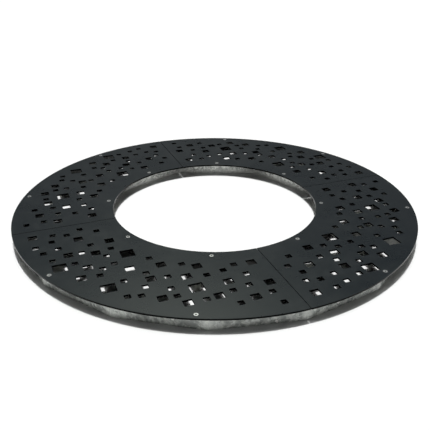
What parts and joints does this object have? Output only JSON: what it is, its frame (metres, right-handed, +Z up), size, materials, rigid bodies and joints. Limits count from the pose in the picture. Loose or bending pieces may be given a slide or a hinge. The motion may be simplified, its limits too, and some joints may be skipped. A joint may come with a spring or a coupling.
{
  "type": "tree grate",
  "caption": "Round steel tree grate: perforated quarter plates screwed down on a galvanised polygonal frame round a tree opening.",
  "frame": {"origin": "centre of the round tree opening, on the ground that the frame stands on", "axes": "+Z up; the seams between the quarters lie along X and Y"},
  "size_m": [2, 2, 0.068],
  "materials": {
    "plate_coating": "satin black powder coat",
    "galvanised_steel": "hot-dip galvanised, mottled",
    "stainless_screw": "plain stainless",
    "zinc_fastener": "hot-dip galvanised"
  },
  "bodies": {
    "root": {"cover_plate_1": "plate_coating", "cover_plate_2": "plate_coating", "cover_plate_3": "plate_coating", "cover_plate_4": "plate_coating", "outer_flat_1": "galvanised_steel", "outer_flat_2": "galvanised_steel", "outer_flat_3": "galvanised_steel", "outer_flat_4": "galvanised_steel", "outer_flat_5": "galvanised_steel", "outer_flat_6": "galvanised_steel", "outer_flat_7": "galvanised_steel", "outer_flat_8": "galvanised_steel", "outer_flat_9": "galvanised_steel", "outer_flat_10": "galvanised_steel", "outer_flat_11": "galvanised_steel", "outer_flat_12": "galvanised_steel", "outer_flat_13": "galvanised_steel", "outer_flat_14": "galvanised_steel", "outer_flat_15": "galvanised_steel", "outer_flat_16": "galvanised_steel", "inner_flat_1": "galvanised_steel", "inner_flat_2": "galvanised_steel", "inner_flat_3": "galvanised_steel", "inner_flat_4": "galvanised_steel", "inner_flat_5": "galvanised_steel", "inner_flat_6": "galvanised_steel", "inner_flat_7": "galvanised_steel", "inner_flat_8": "galvanised_steel", "start_bar_1": "galvanised_steel", "start_bar_2": "galvanised_steel", "start_bar_3": "galvanised_steel", "start_bar_4": "galvanised_steel", "end_bar_1": "galvanised_steel", "end_bar_2": "galvanised_steel", "end_bar_3": "galvanised_steel", "end_bar_4": "galvanised_steel", "middle_rib_1": "galvanised_steel", "middle_rib_2": "galvanised_steel", "middle_rib_3": "galvanised_steel", "middle_rib_4": "galvanised_steel", "rim_lugs_1": "galvanised_steel", "rim_lugs_2": "galvanised_steel", "rim_lugs_3": "galvanised_steel", "rim_lugs_4": "galvanised_steel", "opening_lugs_1": "galvanised_steel", "opening_lugs_2": "galvanised_steel", "opening_lugs_3": "galvanised_steel", "opening_lugs_4": "galvanised_steel", "plate_screws_1": "stainless_screw", "plate_screws_2": "stainless_screw", "plate_screws_3": "stainless_screw", "plate_screws_4": "stainless_screw", "seam_bolts": "zinc_fastener", "seam_washers": "zinc_fastener", "seam_nuts": "zinc_fastener"}
  },
  "joints": []
}
